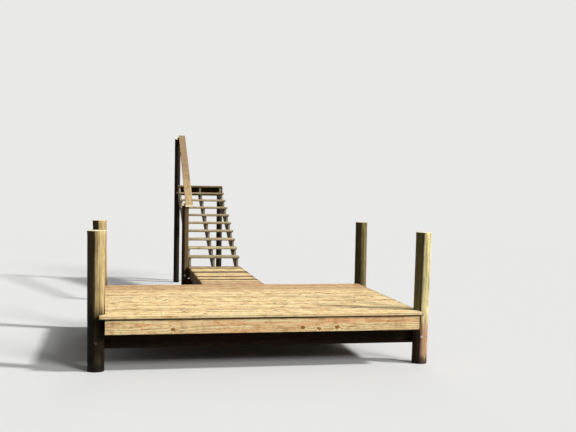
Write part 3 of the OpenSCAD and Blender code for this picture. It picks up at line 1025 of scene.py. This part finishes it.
def stand_boards(node, along, count, material, slot):
    """Boards on edge that make up one node."""
    across, way, face = (Y, TO_RIGHT, TO_FRONT) if along == X else (X, TO_BACK, TO_RIGHT)
    boxes = boxes_of(node, across, count, BOARD_T)
    first_low, first_high = boxes[0]
    model = model_board(first_low, first_high, along, ease=FRAME_EASE_M)
    boards = [copy_piece(model, Matrix.Translation(low - first_low)) for low, _ in boxes]
    bpy.data.objects.remove(model)
    for board in boards:
        store_grain(board, way, face)
    hand_over(join_pieces(boards, node + "_sawn"), material, slot, node)


stand_boards("front_rim", X, 1, fascia_pine, "treated_pine")
stand_boards("front_girder", X, 1, girder_pine, "shaded_pine")
for node in ("back_rim", "back_girder", "gangway_cap", "foot_sill", "head_beam"):
    stand_boards(node, X, 1, frame_pine, "shaded_pine")
for node in ("left_rim", "right_rim", "gangway_beam_left", "gangway_beam_middle", "gangway_beam_right"):
    stand_boards(node, Y, 1, frame_pine, "shaded_pine")
JOISTS = 5
stand_boards("deck_joists", Y, JOISTS, frame_pine, "shaded_pine")

# %% [markdown]
# ## Stringers
# A stringer is one wide board, sawn into a staircase that carries the treads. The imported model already
# holds that outline exactly, so a copy of the node is taken instead of sawing it out again. The copy is
# merged, its flat faces are made whole, and its edges are eased with a Bevel modifier.

# %% Stringers
STRINGER_EASE_M = 0.003
SAME_POINT_M = 0.00005


def copy_of_node(node):
    """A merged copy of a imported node, with its flat faces whole."""
    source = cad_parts[node]
    twin = source.copy()
    twin.data = source.data.copy()
    twin.parent = None
    twin.matrix_world = source.matrix_world
    bpy.context.scene.collection.objects.link(twin)
    select_alone(twin)
    bpy.ops.object.transform_apply(location=True, rotation=True, scale=True)
    bpy.ops.object.mode_set(mode="EDIT")
    bpy.ops.mesh.select_all(action="SELECT")
    bpy.ops.mesh.remove_doubles(threshold=SAME_POINT_M)
    bpy.ops.mesh.dissolve_limited(angle_limit=math.radians(1))
    bpy.ops.object.mode_set(mode="OBJECT")
    return twin


first_tread, last_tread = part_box(TREADS[0])[0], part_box(TREADS[-1])[0]
stair_way = Vector((0, last_tread.y - first_tread.y, last_tread.z - first_tread.z)).normalized()
for side in ("left", "middle", "right"):
    stringer = copy_of_node("stringer_" + side)
    modify(stringer, "BEVEL", width=STRINGER_EASE_M, segments=2, limit_method="ANGLE")
    store_grain(stringer, stair_way, TO_RIGHT)
    stringer.name = "stringer_" + side + "_sawn"
    hand_over(stringer, stringer_pine, "shaded_pine", "stringer_" + side)

# %% [markdown]
# ## Poles
# A pole starts as a cylinder. Its side is cut into short rings and pushed in by up to a few
# millimetres, so that it isn't turned but grown. Up to two long drying checks are opened in it: a line
# of upright edges is bevelled into a narrow strip, and the middle of the strip is pushed in.

# %% Modelling a pole
POLE_SIDES = 40
RING_EVERY_M = 0.09
FOOT_SPARE_M = 0.02
CHECK_HALF_W_M = 0.0035
CHECK_END_M = 0.01
# How far round the axis an edge or a point may lie from the check, in radians
LINE_TURN = 0.02
MIDDLE_TURN = 0.004


def turn_from(angle, place):
    """How far round the pole's axis a place lies from an angle."""
    return abs((math.atan2(place.y, place.x) - angle + math.pi) % (2 * math.pi) - math.pi)


def open_check(pole, angle, low, high, depth):
    """Opens a drying check along the upright edges nearest to an angle, between two levels."""
    side = 2 * math.pi / POLE_SIDES
    line = round(angle / side) * side

    def on_line(edge):
        middle = (edge.verts[0].co + edge.verts[1].co) / 2
        return runs_along(edge, Z) and turn_from(line, middle) < LINE_TURN and low < middle.z < high

    def on_middle(vert):
        return turn_from(line, vert.co) < MIDDLE_TURN and low + CHECK_END_M < vert.co.z < high - CHECK_END_M

    pick(pole, "EDGE", on_line)
    bpy.ops.mesh.bevel(offset=CHECK_HALF_W_M, segments=2, affect="EDGES")
    pick(pole, "VERT", on_middle)
    bpy.ops.transform.translate(value=-Vector((math.cos(line), math.sin(line), 0)) * depth)


def model_pole(foot_r, top_r, height, checks):
    """A peeled pole on the origin, with checks given as angle in degrees, low and high level, depth."""
    select_alone()
    length = height + FOOT_SPARE_M
    bpy.ops.mesh.primitive_cone_add(vertices=POLE_SIDES, radius1=foot_r, radius2=top_r, depth=length,
                                    location=(0, 0, length / 2 - FOOT_SPARE_M))
    pole = bpy.context.object
    bpy.ops.object.transform_apply(location=True, rotation=True, scale=True)
    bpy.ops.object.mode_set(mode="EDIT")
    pick(pole, "EDGE", lambda edge: min(vert.co.z for vert in edge.verts) > height - SAME_LEVEL_M)
    bpy.ops.mesh.bevel(offset=TOP_BEVEL_M, segments=2, affect="EDGES")
    pick(pole, "EDGE", lambda edge: runs_along(edge, Z) and edge.calc_length() > RING_EVERY_M)
    bpy.ops.mesh.subdivide(number_cuts=round(height / RING_EVERY_M))
    for angle, low, high, depth in checks:
        open_check(pole, math.radians(angle), low * height, high * height, depth)
    bpy.ops.object.mode_set(mode="OBJECT")
    return pole


print("a pole has", POLE_SIDES, "sides and a ring every", RING_EVERY_M, "metres")

# %% [markdown]
# A modelled pole is then grown, planted and finished. Only the points between foot and top are pushed
# in. It is leaned from its foot, and the spare wood below is sawn off level. It is let into its beams,
# shaded smooth up to an angle that keeps the sawn edges sharp, and its top gets the cut end's material.

# %% Finishing a pole
POLE_WARP_M = 0.004
GROWS_WITHIN_M = 0.01
SEAT_ROOM = Vector((0.0, 0.0003, 0.0003))
SMOOTH_UP_TO = math.radians(35)
# A sawn top looks up and lies above the deck's frame
LOOKS_UP = 0.7
TOPS_ABOVE_M = 0.6
log_clouds = slow_clouds("log_clouds", 0.22)


def bisect_piece(piece, place, normal):
    """Cuts off what lies on a plane's far side, and closes the cut."""
    select_alone(piece)
    bpy.ops.object.mode_set(mode="EDIT")
    bpy.ops.mesh.select_all(action="SELECT")
    bpy.ops.mesh.bisect(plane_co=place, plane_no=normal, use_fill=True, clear_outer=True)
    bpy.ops.object.mode_set(mode="OBJECT")


def grow_and_plant(pole, height, foot_middle, way):
    """Pushes a pole's side in a little, leans it along a direction and saws its foot level."""
    group = pole.vertex_groups.new(name="side")
    inner = [vert.index for vert in pole.data.vertices
             if -GROWS_WITHIN_M < vert.co.z < height - GROWS_WITHIN_M]
    group.add(inner, 1.0, "REPLACE")
    modify(pole, "DISPLACE", texture=log_clouds, texture_coords="GLOBAL", strength=POLE_WARP_M,
           mid_level=1.0, vertex_group=group.name)
    lean = Vector(UP).rotation_difference(way).to_matrix().to_4x4()
    pole.data.transform(Matrix.Translation(foot_middle) @ lean)
    bisect_piece(pole, (0, 0, 0), (0, 0, -1))


def finish_pole(pole, node, material, slot, beams, way=UP):
    """Cuts a pole's seats for its beams, smooths it and gives it its wood and its cut top."""
    for beam in beams:
        low, high = box_of(beam)
        cut_out(pole, add_box(low - SEAT_ROOM, high + SEAT_ROOM))
    store_grain(pole, way, TO_FRONT)
    select_alone(pole)
    bpy.ops.object.shade_smooth_by_angle(angle=SMOOTH_UP_TO)
    pole.name = node + "_peeled"
    hand_over(pole, material, slot, node)
    pole.data.materials.append(cut_top)
    for face in pole.data.polygons:
        face.material_index = int(face.normal.z > LOOKS_UP and face.center.z > TOPS_ABOVE_M)
    print(node, "top faces", sum(face.material_index for face in pole.data.polygons))


print("seats have", SEAT_ROOM.y * 1000, "mm of room")

# %% [markdown]
# ## Piles
# Four round piles carry the deck and stand a metre above it. Each has a flat seat for its girder, and
# one or two checks where the photo shows a long dark crack or where such a pole would have one.

# %% Piles
PILE_CHECKS = {
    "pile_front_left": ((261, 0.62, 0.97, 0.012), (350, 0.5, 0.8, 0.008)),
    "pile_front_right": ((305, 0.42, 0.99, 0.008), (15, 0.3, 0.7, 0.008)),
    "pile_back_left": ((300, 0.5, 0.98, 0.010),),
    "pile_back_right": ((280, 0.45, 0.95, 0.012), (340, 0.6, 0.9, 0.006)),
}
PILE_WOODS = {"pile_front_left": shaded_pile_wood, "pile_front_right": pile_wood,
              "pile_back_left": shaded_pile_wood, "pile_back_right": mossy_shaded_pile_wood}
PILE_GIRDERS = {pile: "front_girder" if "front" in pile else "back_girder" for pile in PILES}
for node in PILES:
    foot_middle, foot_r, top_middle, top_r = pole_circles(node)
    way = (top_middle - foot_middle).normalized()
    height = (top_middle - foot_middle).length
    pile = model_pole(foot_r, top_r, height, PILE_CHECKS[node])
    grow_and_plant(pile, height, foot_middle, way)
    finish_pole(pile, node, PILE_WOODS[node], "round_pile", [PILE_GIRDERS[node]], way)

# %% [markdown]
# ## Handrail
# The handrail is one plank laid flat on two posts, climbing with the stair. It is modelled flat, longer
# than it is, and then turned into its place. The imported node's four lowest and four highest corners say
# where its ends are. They are sawn upright with one bisect each, which also closes the cut, and show
# end grain.

# %% Handrail
LOOKS_ALONG = 0.95

corners = sorted({tuple(round(v, 5) for v in point) for point in points_of("handrail")}, key=lambda p: p[Z])
foot_middle = sum((Vector(corner) for corner in corners[:4]), Vector()) / 4
head_middle = sum((Vector(corner) for corner in corners[-4:]), Vector()) / 4
rail_middle = (foot_middle + head_middle) / 2
rail_length = (head_middle - foot_middle).length
rail_way = (head_middle - foot_middle).normalized()
rail_across = Vector((rail_way.y, -rail_way.x, 0)).normalized()
rail_face = rail_across.cross(rail_way)
rail_turn = Matrix((rail_across, rail_way, rail_face)).transposed().to_4x4()
level_way = Vector((rail_way.x, rail_way.y, 0)).normalized()

rail_half = Vector((BOARD_W / 2, rail_length / 2 + BOARD_T, BOARD_T / 2))
rail = model_board(-rail_half, rail_half, Y)
rail.data.transform(Matrix.Translation(rail_middle) @ rail_turn)
bisect_piece(rail, foot_middle, -level_way)
bisect_piece(rail, head_middle, level_way)
store_grain(rail, rail_way, rail_face)
rail.name = "handrail_sawn"
hand_over(rail, rail_pine, "handrail_wood", "handrail")
rail.data.materials.append(board_end)
for face in rail.data.polygons:
    face.material_index = int(abs(face.normal.dot(level_way)) > LOOKS_ALONG)
print("handrail end faces", sum(face.material_index for face in rail.data.polygons))
print("handrail length", round(rail_length, 3), "rise", round(rail_way.z, 3))

# %% [markdown]
# ## Posts
# The stair stands on four old round posts. The two left ones carry the handrail, so their tops are sawn
# to its slope: each is modelled longer and then cut with one bisect along the rail's underside.

# %% Posts
POST_SPARE_M = 0.1
POST_BEAMS = {"foot_post_left": ["gangway_cap", "foot_sill"],
              "foot_post_right": ["gangway_cap", "foot_sill"],
              "head_post_left": ["head_beam"],
              "head_post_right": ["head_beam"]}
RAIL_POST_CHECKS = {"foot_post_left": ((300, 0.3, 0.9, 0.008),),
                    "head_post_left": ((290, 0.6, 0.95, 0.008),)}
for node, beams in POST_BEAMS.items():
    carries_rail = node in RAIL_POST_CHECKS
    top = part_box(node)[1].z + (POST_SPARE_M if carries_rail else 0.0)
    middle, radius = pole_at(node, 0.0)
    post = model_pole(radius, radius, top, RAIL_POST_CHECKS.get(node, ()))
    grow_and_plant(post, top, Vector((middle.x, middle.y, 0)), Vector(UP))
    if carries_rail:
        bisect_piece(post, rail_middle - rail_face * BOARD_T / 2, rail_face)
    finish_pole(post, node, dark_post_wood if "head" in node else post_wood, "old_post", beams)

# %% [markdown]
# ## Steel
# The bolts are hot-dip galvanised steel: the zinc bath leaves a dull grey crust that is mottled rather
# than shiny, and it turns brown where it is scratched. On the two left piles the zinc has gone and the
# bolts are dark with a dry, crumbly rust, which is also painted shade there. The deck screws are carbon
# steel with a tan coat, which makes them vanish in new wood. The driver has scuffed the coat off in
# spots, where darker metal shines.

# %% Steel
# Zinc crystals are 6 mm wide. Rust blots repeat 60 times in a metre, about 17 mm, and scuffs 90 times
SPANGLE_M = 0.006
RUST_BLOTS = 60.0
SCUFFS = 90.0
SCUFFS_FROM_TO = (0.56, 0.66)
# From zinc to rust, and from coat to bare metal
ZINC_METALLIC = (0.85, 0.1)
ZINC_ROUGHNESS = (0.45, 0.85)
COAT_ROUGHNESS = (0.55, 0.38)


def put_metal(tree, colour, metal, roughness):
    """A steel surface, which is less of a metal where a crust or a coat covers it."""
    skin = add(tree, "BsdfPrincipled", {"Base Color": colour, "Metallic": metal, "Roughness": roughness})
    add(tree, "OutputMaterial", {"Surface": skin})


def make_zinc(name, rust_from, rust_full):
    """Hot-dip galvanised steel. Rust starts and is full at two levels of a noise: lower ones, more rust."""
    material, tree = new_material(name)
    place = add(tree, "TexCoord").outputs["Object"]
    spangle = add(tree, "TexVoronoi", [place, 1 / SPANGLE_M])
    blots = add(tree, "TexNoise", [place, RUST_BLOTS, 3.0])
    rust = add(tree, "MapRange", [blots, rust_from, rust_full])
    zinc = add(tree, "Mix", [spangle, "#D2D1CC", "#A3A29D"], **COLOURS)
    crust = add(tree, "Mix", [blots, "#2E1A0F", "#6B452A"], **COLOURS)
    worn = add(tree, "Mix", [rust, zinc, crust], **COLOURS)
    metal = add(tree, "MapRange", [rust, 0, 1, *ZINC_METALLIC])
    put_metal(tree, worn, metal, add(tree, "MapRange", [rust, 0, 1, *ZINC_ROUGHNESS]))
    return material


def make_screw_coat(name):
    """Steel with a tan coat that is scuffed in spots."""
    material, tree = new_material(name)
    scuff = add(tree, "TexNoise", [add(tree, "TexCoord").outputs["Object"], SCUFFS, 2.0])
    bare = add(tree, "MapRange", [scuff, *SCUFFS_FROM_TO])
    coat = add(tree, "Mix", [bare, "#A5804F", "#7A6A58"], **COLOURS)
    put_metal(tree, coat, bare, add(tree, "MapRange", [bare, 0, 1, *COAT_ROUGHNESS]))
    return material


# Mostly whole zinc: pale grey with few brown blots
galvanised = make_zinc("galvanised_steel_hot_dip", 0.55, 0.75)
# Mostly rust, dark also as painted shade: rough and hardly a metal to the eye
rusted_shaded = make_zinc("galvanised_steel_rusted_painted_shade", 0.20, 0.42)
# The coat is a paint, and only the scuffs are metal
coated = make_screw_coat("deck_screw_tan_coated")
print("steel", [galvanised.name, rusted_shaded.name, coated.name])

# %% [markdown]
# ## Screws
# Two screws hold each board on each joist. One screw head is modelled: a flat disc whose middle is sunk
# for the driver. It is copied to every crossing, several hundred times, so it has few faces.

# %% One screw head
SCREW_R = 0.0045
SCREW_T = 0.003
SCREW_PROUD = 0.0003
SCREW_SIDES = 10
# The driver's recess takes up half the radius and half the thickness
RECESS_SHARE = 0.5

screw_head = add_cylinder(SCREW_SIDES, SCREW_R, SCREW_T, (0, 0, SCREW_PROUD - SCREW_T / 2))
bpy.ops.object.mode_set(mode="EDIT")
pick(screw_head, "FACE", lambda face: face.normal.z > LOOKS_UP)
bpy.ops.mesh.inset(thickness=SCREW_R * RECESS_SHARE)
bpy.ops.transform.translate(value=(0, 0, -SCREW_T * RECESS_SHARE))
bpy.ops.object.mode_set(mode="OBJECT")
print("screw head", len(screw_head.data.polygons), "faces")

# %% [markdown]
# The screws go where the boards cross the joists, the rims and the beams, a little way in from the
# boards' edges. In the front rim they sit in threes, at the ends of the joists behind it, and two hold
# the handrail on each of its posts.

# %% Screws in the deck, the gangway, the treads, the front rim and the handrail
SCREW_FROM_EDGE = 0.028
RIM_SCREW_SHARES = (0.2, 0.5, 0.8)
RAIL_SCREWS_ASIDE = (-0.045, -0.015)


def drive_screws(places, name, turned=Matrix.Identity(4)):
    """One piece of steel that is a screw head at each place, all turned the same way."""
    screws = [copy_piece(screw_head, Matrix.Translation(place) @ turned) for place in places]
    piece = join_pieces(screws, name)
    piece.data.materials.append(coated)
    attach(piece, "root")
    print(name, len(places), "screws")


def middle_of(node, axis):
    """Middle of a node along an axis."""
    return sum(corner[axis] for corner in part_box(node)) / 2


def board_screws(nodes, lines):
    """Two screws where each cross board of some nodes passes over each line of joists."""
    places = []
    for node, count in nodes.items():
        for low, high in boxes_of(node, Y, count, BOARD_W):
            for x in lines:
                for y in (low.y + SCREW_FROM_EDGE, high.y - SCREW_FROM_EDGE):
                    places.append(Vector((x, y, high.z)))
    return places


joist_lines = [(low.x + high.x) / 2 for low, high in boxes_of("deck_joists", X, JOISTS, BOARD_T)]
deck_lines = joist_lines + [middle_of("left_rim", X), middle_of("right_rim", X)]
beam_lines = [middle_of("gangway_beam_" + side, X) for side in ("left", "middle", "right")]
drive_screws(board_screws(DECK_ROWS, deck_lines), "deck_screws")
drive_screws(board_screws(GANGWAY_ROWS, beam_lines), "gangway_screws")
drive_screws(board_screws({tread: 2 for tread in TREADS}, beam_lines), "tread_screws")

rim_low, rim_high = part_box("front_rim")
rim_levels = [rim_low.z + share * (rim_high.z - rim_low.z) for share in RIM_SCREW_SHARES]
rim_screws = [Vector((x, rim_low.y, z)) for x in deck_lines for z in rim_levels]
drive_screws(rim_screws, "front_rim_screws", Matrix.Rotation(math.pi / 2, 4, "X"))

rail_screws = []
for post in RAIL_POST_CHECKS:
    run = (middle_of(post, Y) - foot_middle.y) / rail_way.y
    on_rail = foot_middle + rail_way * run + rail_face * BOARD_T / 2
    rail_screws += [on_rail + rail_across * aside for aside in RAIL_SCREWS_ASIDE]
drive_screws(rail_screws, "handrail_screws", rail_turn)
bpy.data.objects.remove(screw_head)

# %% [markdown]
# ## Through bolts
# A bolt runs right through each pole and its beam, with a wide washer under its head and another under
# its nut, so that the steel doesn't sink into the wood. The head is a six-sided prism with its outer
# edges worn off. At the other end a little thread stands out of the nut.

# %% One bolt's two ends
THREAD_R = 0.008
HEX_R = 0.0125
HEX_T = 0.010
WASHER_R = 0.019
WASHER_T = 0.004
THREAD_OUT = 0.012
# How deep a washer is drawn into the wood
SUNK_M = 0.002
WORN_M = 0.0015
WASHER_WORN_M = 0.001
RIM_WITHIN_M = 0.0001
WASHER_SIDES = 24
HEX_SIDES = 6
THREAD_SIDES = 16


def disc(sides, radius, start, depth, bevel):
    """A short prism on the Z axis from a level, its outer rim bevelled."""
    piece = add_cylinder(sides, radius, depth, (0, 0, start + depth / 2))
    bpy.ops.object.mode_set(mode="EDIT")
    top = start + depth
    pick(piece, "EDGE", lambda edge: min(vert.co.z for vert in edge.verts) > top - RIM_WITHIN_M)
    bpy.ops.mesh.bevel(offset=bevel, segments=2, affect="EDGES")
    bpy.ops.object.mode_set(mode="OBJECT")
    return piece


def bolt_end(thread):
    """A washer and a head or nut that face up from the origin, with some thread out of a nut."""
    ends = [disc(WASHER_SIDES, WASHER_R, -SUNK_M, WASHER_T, WASHER_WORN_M),
            disc(HEX_SIDES, HEX_R, WASHER_T - SUNK_M, HEX_T, WORN_M)]
    if thread:
        ends.append(disc(THREAD_SIDES, THREAD_R, WASHER_T + HEX_T - SUNK_M, THREAD_OUT, WORN_M))
    return join_pieces(ends, "bolt_end")


bolt_head = bolt_end(False)
bolt_nut = bolt_end(True)
print("bolt head", len(bolt_head.data.polygons), "faces, nut", len(bolt_nut.data.polygons), "faces")

# %% [markdown]
# The beam lies in front of some poles and behind others, so each end of a bolt is put on the outer face
# of whichever is outermost there. A bolt that sits beside a round pole's middle meets its side
# farther in. At the head beam only the front end is made, because the object ends behind the beam.

# %% Bolts
# A little below the beam's middle
BOLT_DROP = 0.030
BOLT_ASIDE = {"pile_front_right": -0.015}
RUSTY_SHADED_POLES = ("pile_front_left", "pile_back_left")

bolt_spots = list(PILE_GIRDERS.items())
bolt_spots += [(post, beam) for post, beams in POST_BEAMS.items() for beam in beams]
steel_ends = {galvanised: [], rusted_shaded: []}
for pole, beam in bolt_spots:
    beam_low, beam_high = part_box(beam)
    bolt_z = middle_of(beam, Z) - BOLT_DROP
    middle, radius = pole_at(pole, bolt_z)
    aside = BOLT_ASIDE.get(pole, 0.0)
    middle.x += aside
    radius = math.sqrt(radius ** 2 - aside ** 2)
    beam_in_front = middle_of(beam, Y) < middle.y
    front = beam_low.y if beam_in_front else middle.y - radius
    back = middle.y + radius if beam_in_front else beam_high.y
    ends = [(bolt_head, front, math.pi / 2), (bolt_nut, back, -math.pi / 2)]
    for model, y, angle in ends[:1] if beam == "head_beam" else ends:
        turned = Matrix.Translation((middle.x, y, bolt_z)) @ Matrix.Rotation(angle, 4, "X")
        steel_ends[rusted_shaded if pole in RUSTY_SHADED_POLES else galvanised].append(copy_piece(model, turned))
for steel, name in ((galvanised, "through_bolts"), (rusted_shaded, "through_bolts_rusted_painted_shade")):
    bolts = join_pieces(steel_ends[steel], name)
    bolts.data.materials.append(steel)
    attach(bolts, "root")
bpy.data.objects.remove(bolt_head)
bpy.data.objects.remove(bolt_nut)
print("through bolts", len(bolt_spots))

# %% Finish
bpy.context.view_layer.update()
